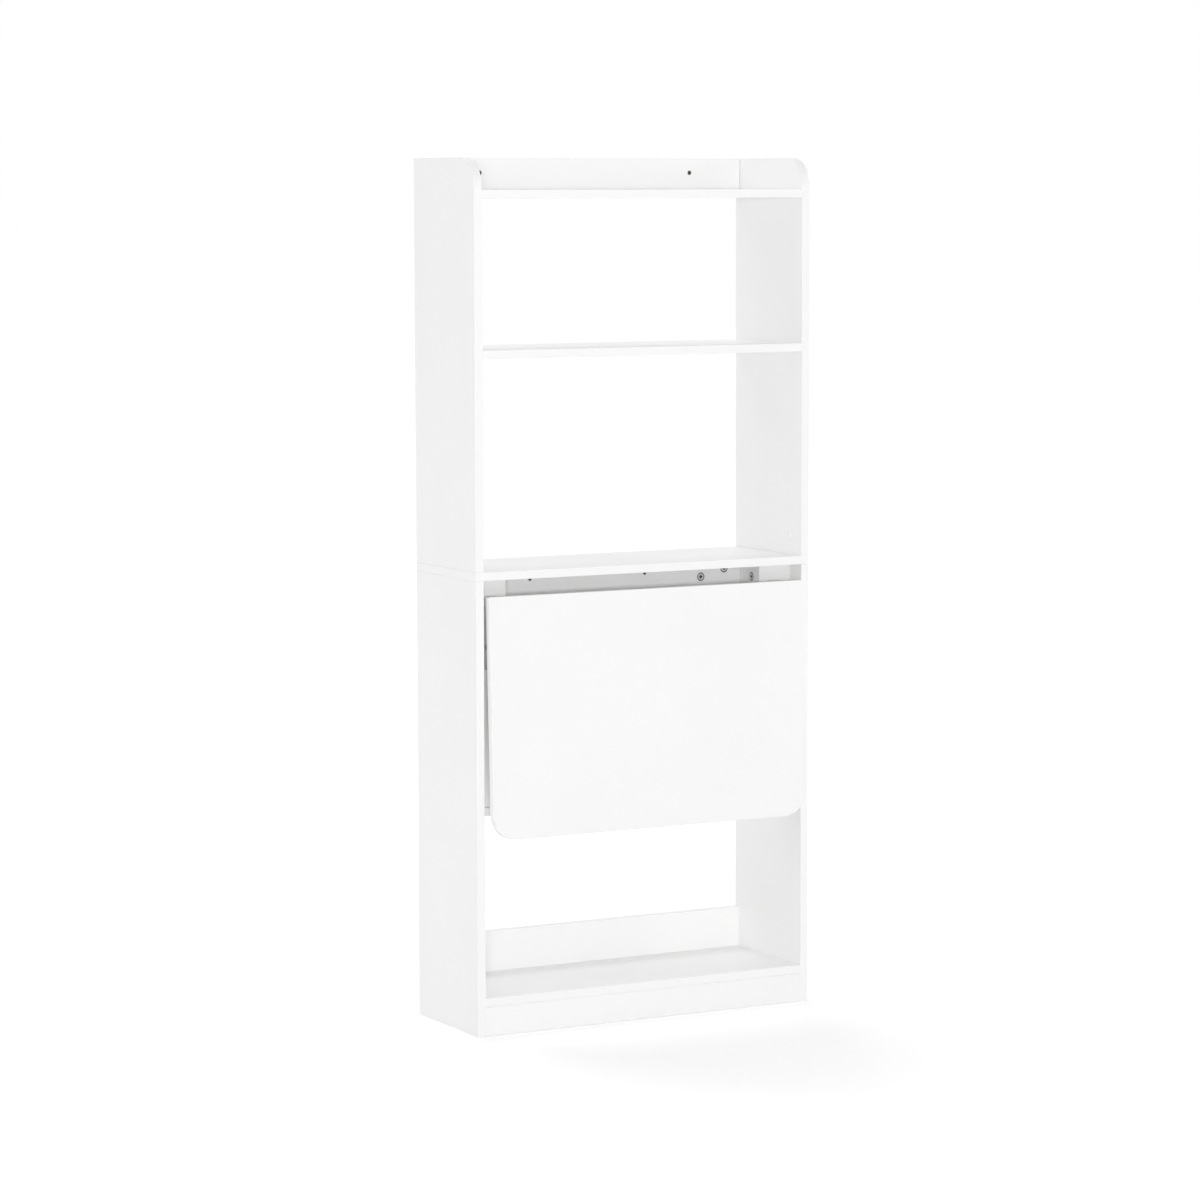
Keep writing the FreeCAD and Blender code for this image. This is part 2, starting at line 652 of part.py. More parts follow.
def make_leaf_and_brackets():
    lever_along, lever_out = lever_pin_place()
    arm = lean_out(arm_shape(), pivot, rest_lean)
    base = base_shape()
    brace = lean_out(brace_shape(), brace_pin, brace_rest_lean)
    bush_half = brace_inside - bush_play
    bush = rod(brace_pin, brace_length, 0, bush_radius, -bush_half, bush_half)
    bush = bush.cut(rod(brace_pin, brace_length, 0, axle_radius + fixed_play, -arm_width, arm_width))
    bush = lean_out(bush, brace_pin, brace_rest_lean)
    axle = rivet(brace_pin, brace_length, 0, axle_radius, brace_outside)
    axle = lean_out(axle, brace_pin, brace_rest_lean)
    lever = lean_out(lever_shape(), pivot, rest_lean)
    pivot_rivet = rivet(pivot, 0, 0, pivot_pin_radius, arm_half)
    brace_rivet = rivet(pivot, brace_drop, -brace_setback, brace_pin_radius, base_half)
    lever_rivet = rivet(pivot, lever_along, lever_out, lever_pin_radius, arm_half)
    lever_rivet = lean_out(lever_rivet, pivot, rest_lean)
    arm_screws = [lean_out(screw(seat, front_way, arm_screw_length), pivot, rest_lean)
                  for seat in arm_seats()]
    arm_holes = [lean_out(hole, pivot, rest_lean)
                 for hole in screw_holes(arm_seats(), front_way, arm_screw_length)]
    base_screws = [screw(seat, back_way, base_screw_length) for seat in base_seats()]
    base_holes = screw_holes(base_seats(), back_way, base_screw_length)

    groups = {"pivot_pins": [], "brace_pins": [], "lever_pins": [], "arm_screws": [], "base_screws": []}
    leaf_holes = []
    for sign, side in ((-1, "left"), (1, "right")):
        offset = right_way * sign * bracket_place
        for node, shape in (
            ("bracket_base", base),
            ("bracket_arm", arm),
            ("brace", brace),
            ("slide_bush", bush),
            ("slide_axle", axle),
            ("lock_lever", lever),
        ):
            shapes[side + "_" + node] = shape.translated(offset)
        groups["pivot_pins"].append(pivot_rivet.translated(offset))
        groups["brace_pins"].append(brace_rivet.translated(offset))
        groups["lever_pins"].append(lever_rivet.translated(offset))
        groups["arm_screws"] += [piece.translated(offset) for piece in arm_screws]
        groups["base_screws"] += [piece.translated(offset) for piece in base_screws]
        leaf_holes += [hole.translated(offset) for hole in arm_holes]
        bores[side + "_stile"] += [hole.translated(offset) for hole in base_holes]
    shapes["desk_leaf"] = lean_out(leaf_shape(), pivot, rest_lean).cut(leaf_holes)
    for node, pieces in groups.items():
        shapes[node] = Part.makeCompound(pieces)


make_boards()
join_carcass()
join_niche()
make_leaf_and_brackets()
for node, tools in bores.items():
    if tools:
        shapes[node] = shapes[node].cut(tools)
shapes["cam_locks"] = Part.makeCompound(cams)
shapes["cam_bolts"] = Part.makeCompound(bolts)
shapes["cam_caps"] = Part.makeCompound(caps)
shapes["dowels"] = Part.makeCompound(dowels)

os.makedirs("parts", exist_ok=True)
for node, shape in shapes.items():
    shape.exportStep("parts/" + node + ".step")

lever_along, lever_out = lever_pin_place()
lever_pin = pivot + leaf_rest_along * lever_along + leaf_rest_out * lever_out
print("nodes", len(shapes), "front", round(front_y, 4), "back", round(back_y, 4))
print("leaf pivot", pivot, "travel", leaf_travel)
print("brace pivot", brace_pin, "travel", brace_travel, "ratio", brace_travel / leaf_travel)
print("lever pivot", lever_pin, "travel", lever_angle)
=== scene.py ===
import bmesh
import bpy
import json
import math
from mathutils import Matrix, Quaternion, Vector


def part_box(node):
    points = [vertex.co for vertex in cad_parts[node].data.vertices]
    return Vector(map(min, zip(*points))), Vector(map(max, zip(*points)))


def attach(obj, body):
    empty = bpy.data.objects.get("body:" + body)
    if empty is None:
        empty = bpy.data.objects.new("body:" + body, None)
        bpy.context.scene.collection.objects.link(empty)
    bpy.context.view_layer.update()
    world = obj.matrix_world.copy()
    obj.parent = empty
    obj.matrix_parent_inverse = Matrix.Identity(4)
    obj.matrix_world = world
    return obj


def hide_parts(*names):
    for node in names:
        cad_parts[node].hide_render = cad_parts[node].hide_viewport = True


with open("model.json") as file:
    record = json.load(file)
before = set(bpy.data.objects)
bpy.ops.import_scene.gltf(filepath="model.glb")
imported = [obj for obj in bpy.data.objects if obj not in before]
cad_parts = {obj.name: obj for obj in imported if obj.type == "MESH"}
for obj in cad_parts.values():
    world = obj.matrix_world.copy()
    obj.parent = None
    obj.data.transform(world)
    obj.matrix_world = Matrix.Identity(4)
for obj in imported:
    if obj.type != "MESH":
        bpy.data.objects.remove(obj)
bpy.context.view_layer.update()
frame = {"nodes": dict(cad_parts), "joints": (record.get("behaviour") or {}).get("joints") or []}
nodes = frame["nodes"]
joints = {joint["name"]: joint for joint in frame["joints"]}
sides = ("left", "right")
mm = 0.001
noiseMiddle = 0.5             # noises lie about this value
restLean = 90 - joints["leaf_fold"]["range_deg"][1]  # the folded leaf leans out by this much
print("frame loaded,", len(nodes), "nodes, leaf leans", round(restLean, 2), "degrees")


# shader maths: a wired value takes part in sums like a number
class Wired:
    def __init__(self, finish, socket):
        self.finish = finish
        self.socket = socket

    def sum(self, operation, first, second=0.0):
        made = self.finish.node("ShaderNodeMath", {"operation": operation}, {0: first, 1: second})
        return Wired(self.finish, made.outputs[0])

    def __add__(self, other):
        return self.sum("ADD", self, other)

    def __sub__(self, other):
        return self.sum("SUBTRACT", self, other)

    def __rsub__(self, other):
        return self.sum("SUBTRACT", other, self)

    def __mul__(self, other):
        return self.sum("MULTIPLY", self, other)

    def __abs__(self):
        return self.sum("ABSOLUTE", self)

    def least(self, other):
        return self.sum("MINIMUM", self, other)

    def most(self, other):
        return self.sum("MAXIMUM", self, other)

    def root(self):
        return self.sum("SQRT", self)

    def swing(self, reach):  # a noise as a change up and down
        return (self - noiseMiddle) * reach

    def ease(self, start, end):  # 0 at start, 1 at end
        made = self.finish.node(
            "ShaderNodeMapRange",
            {"interpolation_type": "SMOOTHSTEP"},
            {"Value": self, "From Min": start, "From Max": end},
        )
        return Wired(self.finish, made.outputs[0])

    __radd__ = __add__
    __rmul__ = __mul__


class Finish:
    def __init__(self, owner):
        owner.use_nodes = True
        self.owner = owner
        self.tree = owner.node_tree
        self.tree.nodes.clear()

    def node(self, kind, settings=None, sockets=None):
        made = self.tree.nodes.new(kind)
        for name, value in (settings or {}).items():
            setattr(made, name, value)
        for key, value in (sockets or {}).items():
            if isinstance(value, Wired):
                self.tree.links.new(value.socket, made.inputs[key])
            else:
                made.inputs[key].default_value = value
        return made

    def out(self, made, key=0):
        return Wired(self, made.outputs[key])

    def place(self, turn=None):  # object coordinates, turned if the piece leans
        coordinates = self.out(self.node("ShaderNodeTexCoord"), "Object")
        if turn is None:
            return coordinates
        return self.out(self.node("ShaderNodeMapping", None, {"Vector": coordinates, "Rotation": turn}))

    def axes(self, place):
        made = self.node("ShaderNodeSeparateXYZ", None, {0: place})
        return [self.out(made, i) for i in range(3)]

    def noise(self, place, scale, detail=2.0):
        sockets = {"Vector": place, "Scale": scale, "Detail": detail}
        return self.out(self.node("ShaderNodeTexNoise", None, sockets))

    def mix(self, share, first, second):
        made = self.node("ShaderNodeMix", {"data_type": "RGBA"}, {0: share, 6: first, 7: second})
        return self.out(made, 2)

    def bump(self, height, distance=1.0):
        sockets = {"Height": height, "Distance": distance, "Strength": 1.0}
        return self.out(self.node("ShaderNodeBump", None, sockets))

    def surface(self, sockets):
        shader = self.out(self.node("ShaderNodeBsdfPrincipled", None, sockets))
        self.node("ShaderNodeOutputMaterial", None, {"Surface": shader})
        return self.owner


def newFinish(name):
    return Finish(bpy.data.materials.new(name))


# white melamine board with glued edge bands and a raw chip core in its bores, the core coloured darker
# than bare chipboard as painted shade
melamine = {
    "white": (0.940, 0.940, 0.938, 1),
    "cloud": (0.922, 0.922, 0.919, 1),
    "band": (0.932, 0.932, 0.931, 1),
    "seam": (0.560, 0.555, 0.545, 1),
    "scuff": (0.780, 0.775, 0.765, 1),
    # raw chipboard colours, made darker and greyer as painted shade inside the bores
    "shadedChipPale": (0.380, 0.340, 0.290, 1),
    "shadedChipDark": (0.170, 0.145, 0.120, 1),
    "bandThickness": 0.0007,
    "bandBlur": 0.000056,
    "seamWidth": 0.00018,
    "seamShare": 0.5,
    "seamDepth": 0.00003,
    "coreStart": 0.00048,     # deeper than the rounding of an edge
    "coreFull": 0.0006,
    "chipScale": 620.0,
    "chipHeight": 0.0003,
    "arrisFull": 0.00048,     # wear is full this near to a corner line
    "arrisEnd": 0.0016,
    "rubScale": 70.0,
    "rubRange": (0.52, 0.72),
    "rubShare": 0.45,
    "cloudScale": 5.0,
    "fleckScale": 260.0,
    "fleckShare": 0.6,
    "mottleRange": (0.25, 0.8),
    "pearlScale": 1500.0,
    "pearlHeight": 0.000015,
    "waveScale": 34.0,
    "waveHeight": 0.00005,
    "faceRoughness": 0.40,
    "bandRoughness": 0.31,
    "fleckRough": 0.10,       # these four are added to the roughness
    "cloudRough": 0.08,
    "rubRough": 0.12,
    "coreRough": 0.5,
}


def roundedGap(radius, first, second):  # distance to the rim at a rounded corner
    reachFirst = (radius - first).most(0.0)
    reachSecond = (radius - second).most(0.0)
    return radius - (reachFirst * reachFirst + reachSecond * reachSecond).root()


def boardFinish(name, cornerRadius=0.0, cornerAt=None, turn=None):
    look = melamine
    f = newFinish(name + "_melamine")
    turned = Matrix.Rotation(turn[0], 3, "X") if turn else Matrix.Identity(3)
    points = [turned @ v.co for v in nodes[name].data.vertices]
    low = Vector(min(p[i] for p in points) for i in range(3))
    high = Vector(max(p[i] for p in points) for i in range(3))
    place = f.place(turn)
    axes = f.axes(place)
    gaps = [(high[i] - low[i]) / 2 - abs(axes[i] - (high[i] + low[i]) / 2) for i in range(3)]
    thin = min(range(3), key=lambda i: high[i] - low[i])
    flat = [i for i in range(3) if i != thin]
    rim = gaps[flat[0]].least(gaps[flat[1]])
    if cornerAt == "frontTop":
        rim = rim.least(roundedGap(cornerRadius, axes[1] - low.y, high.z - axes[2]))
    if cornerAt == "bottom":
        rim = rim.least(roundedGap(cornerRadius, gaps[0], axes[2] - low.z))

    thickness = look["bandThickness"]
    band = 1 - rim.ease(thickness - look["bandBlur"], thickness + look["bandBlur"])
    seam = 1 - abs(rim - thickness).ease(0.0, look["seamWidth"])
    core = rim.least(gaps[thin]).ease(look["coreStart"], look["coreFull"])
    arris = 1 - rim.most(gaps[thin]).ease(look["arrisFull"], look["arrisEnd"])

    cloud = f.noise(place, look["cloudScale"], detail=3.0)
    fleck = f.noise(place, look["fleckScale"], detail=3.0)
    pearl = f.noise(place, look["pearlScale"], detail=1.0)
    wave = f.noise(place, look["waveScale"], detail=1.0)
    rub = f.noise(place, look["rubScale"], detail=4.0).ease(*look["rubRange"]) * arris

    chips = f.node("ShaderNodeTexVoronoi", None, {"Vector": place, "Scale": look["chipScale"]})
    chipShade = f.out(f.node("ShaderNodeSeparateColor", None, {0: f.out(chips, "Color")}))
    mottle = (cloud + fleck.swing(look["fleckShare"])).ease(*look["mottleRange"])
    colour = f.mix(mottle, look["white"], look["cloud"])
    colour = f.mix(band, colour, look["band"])
    colour = f.mix(seam * look["seamShare"], colour, look["seam"])
    colour = f.mix(rub * look["rubShare"], colour, look["scuff"])
    # the bores show chipboard colour darkened with painted shade
    colour = f.mix(core, colour, f.mix(chipShade, look["shadedChipPale"], look["shadedChipDark"]))

    rough = look["faceRoughness"] + fleck.swing(look["fleckRough"]) + cloud.swing(look["cloudRough"])
    rough = rough + band * (look["bandRoughness"] - look["faceRoughness"])
    rough = rough + rub * look["rubRough"] + core * look["coreRough"]
    height = wave * look["waveHeight"] + pearl * look["pearlHeight"] * (1 - band)
    height = height + chipShade * core * look["chipHeight"] - seam * look["seamDepth"]
    return f.surface({"Base Color": colour, "Roughness": rough, "Normal": f.bump(height)})


# powder coat on the pressed steel brackets
powderCoat = {
    "white": (0.840, 0.842, 0.838, 1),
    "shade": (0.790, 0.792, 0.788, 1),
    "cloudScale": 30.0,
    "cloudRange": (0.3, 0.75),
    "peelScale": 620.0,
    "peelHeight": 0.00006,
    "roughness": 0.42,
    "roughSwing": 0.16,
}


def powderFinish():
    look = powderCoat
    f = newFinish("powder_coat")
    place = f.place()
    peel = f.noise(place, look["peelScale"])
    cloud = f.noise(place, look["cloudScale"], detail=3.0)
    return f.surface({
        "Base Color": f.mix(cloud.ease(*look["cloudRange"]), look["white"], look["shade"]),
        "Roughness": look["roughness"] + peel.swing(look["roughSwing"]),
        "Normal": f.bump(peel, look["peelHeight"]),
    })


# bright zinc on levers, rivets, bolts and screws
zincPlate = {
    "bright": (0.640, 0.650, 0.660, 1),
    "dull": (0.480, 0.485, 0.480, 1),
    "spangleScale": 420.0,
    "spangleRange": (0.35, 0.7),
    "grainScale": 2600.0,
    "grainHeight": 0.00004,
    "roughness": 0.30,
    "roughSwing": 0.22,
}


def zincFinish():
    look = zincPlate
    f = newFinish("zinc_plate")
    place = f.place()
    spangle = f.noise(place, look["spangleScale"], detail=3.0)
    grain = f.noise(place, look["grainScale"], detail=1.0)
    return f.surface({
        "Base Color": f.mix(spangle.ease(*look["spangleRange"]), look["bright"], look["dull"]),
        "Metallic": 1.0,
        "Roughness": look["roughness"] + spangle.swing(look["roughSwing"]),
        "Normal": f.bump(grain, look["grainHeight"]),
    })


# matt die-cast zinc on the cams, with painted shade darkening the recesses
dieCast = {
    "pale": (0.760, 0.760, 0.762, 1),
    "dull": (0.640, 0.640, 0.645, 1),
    # near-black colour painted into the recesses as shade
    "paintedShade": (0.012, 0.012, 0.013, 1),
    "cloudScale": 300.0,
    "cloudRange": (0.35, 0.7),
    "pitScale": 2200.0,
    "pitHeight": 0.00005,
    "recessFull": 0.45,       # the painted shade is full from this value of the recess mark on
    "metallic": 0.35,
    "roughness": 0.50,
    "roughSwing": 0.18,
    "recessRough": 0.2,
}


def castFinish():
    look = dieCast
    f = newFinish("die_cast_zinc")
    place = f.place()
    cloud = f.noise(place, look["cloudScale"], detail=3.0)
    pits = f.noise(place, look["pitScale"])
    mark = f.out(f.node("ShaderNodeAttribute", {"attribute_name": "recess"}), "Fac")
    recess = mark.ease(0.0, look["recessFull"])
    colour = f.mix(cloud.ease(*look["cloudRange"]), look["pale"], look["dull"])
    return f.surface({
        # the recess is painted near black as shade
        "Base Color": f.mix(recess, colour, look["paintedShade"]),
        "Metallic": look["metallic"],
        "Roughness": look["roughness"] + cloud.swing(look["roughSwing"]) + recess * look["recessRough"],
        "Normal": f.bump(pits, look["pitHeight"]),
    })


# moulded plastics: white caps and natural nylon bushes
capPlastic = {"pale": (0.930, 0.930, 0.927, 1), "shade": (0.910, 0.910, 0.906, 1), "roughness": 0.36}
nylonPlastic = {"pale": (0.780, 0.765, 0.715, 1), "shade": (0.720, 0.700, 0.640, 1), "roughness": 0.46}
mouldedSkin = {               # the same on both
    "cloudScale": 90.0,
    "cloudRange": (0.3, 0.75),
    "sparkScale": 1900.0,
    "sparkHeight": 0.00003,
    "roughSwing": 0.12,
}


def plasticFinish(name, look):
    f = newFinish(name)
    place = f.place()
    cloud = f.noise(place, mouldedSkin["cloudScale"])
    spark = f.noise(place, mouldedSkin["sparkScale"])
    return f.surface({
        "Base Color": f.mix(cloud.ease(*mouldedSkin["cloudRange"]), look["pale"], look["shade"]),
        "Roughness": look["roughness"] + spark.swing(mouldedSkin["roughSwing"]),
        "Normal": f.bump(spark, mouldedSkin["sparkHeight"]),
    })


# beech dowels
beech = {
    "pale": (0.640, 0.450, 0.280, 1),
    "dark": (0.470, 0.300, 0.170, 1),
    "grainScale": 300.0,
    "grainShare": 0.7,
    "grainHeight": 0.0002,
    "fleckScale": 1500.0,
    "fleckRange": (0.58, 0.70),
    "fleckShare": 0.3,
    "roughness": 0.62,
    "roughSwing": 0.2,
}


def beechFinish():
    look = beech
    f = newFinish("beech_dowel")
    place = f.place()
    grain = f.noise(place, look["grainScale"], detail=4.0)
    flecks = f.noise(place, look["fleckScale"]).ease(*look["fleckRange"])
    figure = grain * look["grainShare"] + flecks * look["fleckShare"]
    return f.surface({
        "Base Color": f.mix(figure, look["pale"], look["dark"]),
        "Roughness": look["roughness"] + grain.swing(look["roughSwing"]),
        "Normal": f.bump(grain, look["grainHeight"]),
    })


def dress(name, material):
    slots = nodes[name].data.materials
    slots.clear()
    slots.append(material)


sideCorner = 0.050            # roundings of the boards, metres
leafCorner = 0.042
leafTurn = (math.radians(restLean), 0.0, 0.0)
squareBoards = [
    "left_lower_side", "right_lower_side", "middle_board", "top_shelf", "upper_shelf", "bottom_shelf",
    "top_back_rail", "bottom_back_rail", "plinth_board", "left_stile", "right_stile",
    "left_partition", "right_partition", "desk_back_panel", "desk_floor_board",
]
for name in squareBoards:
    dress(name, boardFinish(name))
for name in ("left_upper_side", "right_upper_side"):
    dress(name, boardFinish(name, sideCorner, "frontTop"))
dress("desk_leaf", boardFinish("desk_leaf", leafCorner, "bottom", leafTurn))

powder = powderFinish()
zinc = zincFinish()
cast = castFinish()
nylon = plasticFinish("nylon", nylonPlastic)
for side in sides:
    for piece in ("bracket_base", "bracket_arm", "brace"):
        dress(side + "_" + piece, powder)
    dress(side + "_lock_lever", zinc)
    dress(side + "_slide_axle", zinc)
    dress(side + "_slide_bush", nylon)
for name in ("pivot_pins", "brace_pins", "lever_pins", "arm_screws", "base_screws", "cam_bolts"):
    dress(name, zinc)
dress("cam_locks", cast)
dress("cam_caps", plasticFinish("cap_plastic", capPlastic))
dress("dowels", beechFinish())
print("finishes on", len(nodes), "nodes")


# hardware: every bracket piece is drawn hanging straight down from its own pin
# a corner is (along the piece, out to the front, rounding) in millimetres
tolerance = 0.01 * mm         # points nearer than this are the same
closingWeld = 0.005 * mm
edgeLook = {                  # angles in degrees
    "cornerSteps": 10,
    "bendSteps": 5,
    "turnSteps": 40,
    "foldAngle": 30,
    "sharpAngle": 34,
    "roundingAngle": 50,
    "roundingSteps": 2,
}


def hung(along, out, across=0.0):
    return Vector((across, -out, -along)) * mm


def hangFrom(pin, lean):
    return Matrix.Translation(pin) @ Matrix.Rotation(math.radians(lean), 4, (-1, 0, 0))


def leanOf(run):  # degrees out to the front from straight down
    return math.degrees(math.atan2(-run.y, -run.z))


def newVerts(made):
    return [v for v in made if isinstance(v, bmesh.types.BMVert)]


def newEdges(made):
    return [e for e in made if isinstance(e, bmesh.types.BMEdge)]


def drawOutline(bm, corners, across):
    verts = [bm.verts.new(hung(along, out, across)) for along, out, radius in corners]
    bm.faces.new(verts)
    for radius in sorted({corner[2] for corner in corners if corner[2]}):
        rounded = [v for v, corner in zip(verts, corners) if corner[2] == radius]
        bmesh.ops.bevel(bm, geom=rounded, offset=radius * mm, affect="VERTICES",
                        segments=edgeLook["cornerSteps"], profile=0.5, material=-1, clamp_overlap=False)
    bmesh.ops.remove_doubles(bm, verts=bm.verts, dist=tolerance)


def closeUp(bm):
    bmesh.ops.remove_doubles(bm, verts=bm.verts, dist=closingWeld)
    bmesh.ops.recalc_face_normals(bm, faces=bm.faces)


def mirrorAcross(bm):
    whole = bm.verts[:] + bm.edges[:] + bm.faces[:]
    bmesh.ops.mirror(bm, geom=whole, matrix=Matrix.Identity(4), axis="X", merge_dist=tolerance)


def makePiece(name, bm, place, body, material, stands=(), sheet=0.0, roundEdge=0.0):
    bmesh.ops.transform(bm, matrix=place, verts=bm.verts)
    for face in bm.faces:
        face.smooth = True
    mesh = bpy.data.meshes.new(name)
    bm.to_mesh(mesh)
    bm.free()
    mesh.set_sharp_from_angle(angle=math.radians(edgeLook["sharpAngle"]))
    mesh.materials.append(material)
    piece = bpy.data.objects.new(name, mesh)
    bpy.context.scene.collection.objects.link(piece)
    if sheet:
        wall = piece.modifiers.new("sheetWall", "SOLIDIFY")
        wall.thickness = sheet * mm
        wall.offset = -1.0
        wall.use_even_offset = True
        wall.use_quality_normals = True
    if roundEdge:
        rounding = piece.modifiers.new("edgeRounding", "BEVEL")
        rounding.width = roundEdge * mm
        rounding.segments = edgeLook["roundingSteps"]
        rounding.limit_method = "ANGLE"
        rounding.angle_limit = math.radians(edgeLook["roundingAngle"])
        rounding.harden_normals = True
    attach(piece, body)
    if stands:
        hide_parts(*stands)


armPastBush = 20.5            # the arm goes on this far past the folded bush
leafPin = Vector(joints["leaf_fold"]["pos_m"])
bushLow, bushHigh = (Vector(corner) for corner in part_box("left_slide_bush"))
bushPlace = (bushLow + bushHigh) / 2
braceRun = bushPlace - Vector(joints["left_brace_fold"]["pos_m"])
braceLength = braceRun.length / mm
braceLean = leanOf(braceRun)
leafAlong = hangFrom(Vector(), restLean).to_3x3() @ hung(1 / mm, 0)
armEnd = leafAlong.dot(bushPlace - leafPin) / mm + armPastBush


# pressed channels of the folding brackets: one flange is drawn, its web pulled across and mirrored
armSheet = {
    "corners": [(-9, 16, 0), (-9, -9, 9), (9, -9, 6), (9, -3, 0), (armEnd - 10, -3, 3), (armEnd, 7, 3),
                (armEnd, 16, 0)],
    "webOut": 16, "half": 15.0, "sheet": 1.5, "bend": 2.2, "edge": 0.25,
}
baseSheet = {
    "corners": [(-9, -20, 0), (-9, 9, 9), (9, 9, 8.5), (9, 0.5, 0), (114, 0.5, 3), (114, -20, 0)],
    "webOut": -20, "half": 13.0, "sheet": 2.0, "bend": 2.6, "edge": 0.3,
    "tabRise": 4.0, "lipReach": 10.8,
}
braceSheet = {
    "corners": [(-6.5, -6.5, 6.5), (14, -6.5, 0), (braceLength - 16, -6.5, 0),
                (braceLength + 6.5, -6.5, 6.5), (braceLength + 6.5, 6.5, 6.5), (-6.5, 6.5, 6.5)],
    "webOut": -6.5, "half": 10.5, "sheet": 2.0, "bend": 0.0, "edge": 0.35,
}


def onWeb(look, edge):
    return all(abs(v.co.y + look["webOut"] * mm) < tolerance for v in edge.verts)


def pressChannel(look):
    bm = bmesh.new()
    drawOutline(bm, look["corners"], look["half"])
    webEdge = max((e for e in bm.edges if onWeb(look, e)), key=lambda e: e.calc_length())
    pulled = bmesh.ops.extrude_edge_only(bm, edges=[webEdge])["geom"]
    bmesh.ops.translate(bm, vec=hung(0, 0, -look["half"]), verts=newVerts(pulled))
    mirrorAcross(bm)
    seam = [e for e in bm.edges if all(abs(v.co.x) < tolerance for v in e.verts)]
    bmesh.ops.dissolve_edges(bm, edges=seam, use_verts=True)
    for end, reach in ((max, look.get("tabRise")), (min, look.get("lipReach"))):
        if not reach:
            continue
        across = [e for e in bm.edges if onWeb(look, e)
                  and abs(e.verts[0].co.x - e.verts[1].co.x) > look["half"] * mm]
        level = end(e.verts[0].co.z for e in across)
        edge = [e for e in across if abs(e.verts[0].co.z - level) < tolerance]
        pulled = bmesh.ops.extrude_edge_only(bm, edges=edge)["geom"]
        shift = hung(-reach, 0) if end is max else hung(0, reach)
        bmesh.ops.translate(bm, vec=shift, verts=newVerts(pulled))
    closeUp(bm)
    if look["bend"]:
        folded = math.radians(edgeLook["foldAngle"])
        bends = [e for e in bm.edges if len(e.link_faces) == 2 and e.calc_face_angle() > folded]
        bmesh.ops.bevel(bm, geom=bends, offset=look["bend"] * mm, affect="EDGES",
                        segments=edgeLook["bendSteps"], profile=0.5, material=-1)
    flange = max(bm.faces, key=lambda face: face.calc_center_median().x)
    if flange.normal.x < 0:
        bmesh.ops.reverse_faces(bm, faces=bm.faces)
    return bm


# turned pieces: half a profile of (across, radius) is spun round the pin and mirrored
rivetHead = {"overlap": 2.0, "height": 1.2, "rim": 0.35, "shoulder": 0.75, "crown": 0.55, "crownOut": 0.8,
             "flat": 0.3}
rivets = {                    # radius and half the grip
    "slide_axle": (2.5, 10.5),
    "pivot_pins": (3.0, 15.0),
    "brace_pins": (3.0, 13.0),
    "lever_pins": (2.0, 15.0),
}
bushRoll = {"profile": [(0, 8.25), (0.4, 8.5), (7.3, 8.5), (8.2, 7.6), (8.2, 5.4), (7.5, 4.8), (7.5, 2.52),
                        (0, 2.52)]}
leverBoss = {"profile": [(0, 3.2), (12.8, 3.2), (13.2, 2.8), (13.2, 2.05), (0, 2.05)]}


def turnPiece(profile, along=0.0):
    bm = bmesh.new()
    verts = [bm.verts.new(hung(0, radius, across)) for across, radius in profile]
    edges = [bm.edges.new(pair) for pair in zip(verts, verts[1:])]
    bmesh.ops.spin(bm, geom=verts + edges, cent=(0, 0, 0), axis=(1, 0, 0), angle=math.tau,
                   steps=edgeLook["turnSteps"], use_merge=True)
    mirrorAcross(bm)
    closeUp(bm)
    bmesh.ops.translate(bm, vec=hung(along, 0), verts=bm.verts)
    return bm


def rivetProfile(radius, grip):
    look = rivetHead
    rim = radius + look["overlap"]
    top = grip + look["height"]
    shoulder = (grip + look["height"] * look["shoulder"], rim * look["crown"] + look["crownOut"])
    return [(0, radius), (grip, radius), (grip, rim), (grip + look["rim"], rim), shoulder,
            (top, rim * look["flat"]), (top, 0)]


# lock lever: a stamped blade with a finger tab, on its boss
leverBlade = {
    "corners": [(-47.6, 3.3, 0.4), (-47.6, 1.5, 0.4), (-3.2, -3.2, 2), (3.2, -5.5, 1.5), (29, -5.2, 0.6),
                (29, -3.7, 0.6), (3.2, 3.2, 1.5), (0, 3.3, 0)],
    "sheet": 4.0, "edge": 0.5,
}
leverTab = {
    "start": 18.0, "end": 30.0, "half": 6.0, "low": -5.7,
    "thickness": 2.5, "corner": 2.4, "edge": 0.5,
}


def slab(corners, thickness):  # an outline made solid across the bracket
    bm = bmesh.new()
    drawOutline(bm, corners, -thickness / 2)
    pulled = bmesh.ops.extrude_face_region(bm, geom=bm.faces[:])["geom"]
    bmesh.ops.translate(bm, vec=hung(0, 0, thickness), verts=newVerts(pulled))
    closeUp(bm)
    return bm


def tabShape():
    look = leverTab
    span = ((look["start"], -look["half"], look["corner"]), (look["end"], -look["half"], look["corner"]),
            (look["end"], look["half"], look["corner"]), (look["start"], look["half"], look["corner"]))
    bm = slab(span, look["thickness"])
    bmesh.ops.rotate(bm, cent=(0, 0, 0), matrix=Matrix.Rotation(math.radians(90), 3, "Z"), verts=bm.verts)
    bmesh.ops.translate(bm, vec=hung(0, look["low"] + look["thickness"] / 2), verts=bm.verts)
    return bm


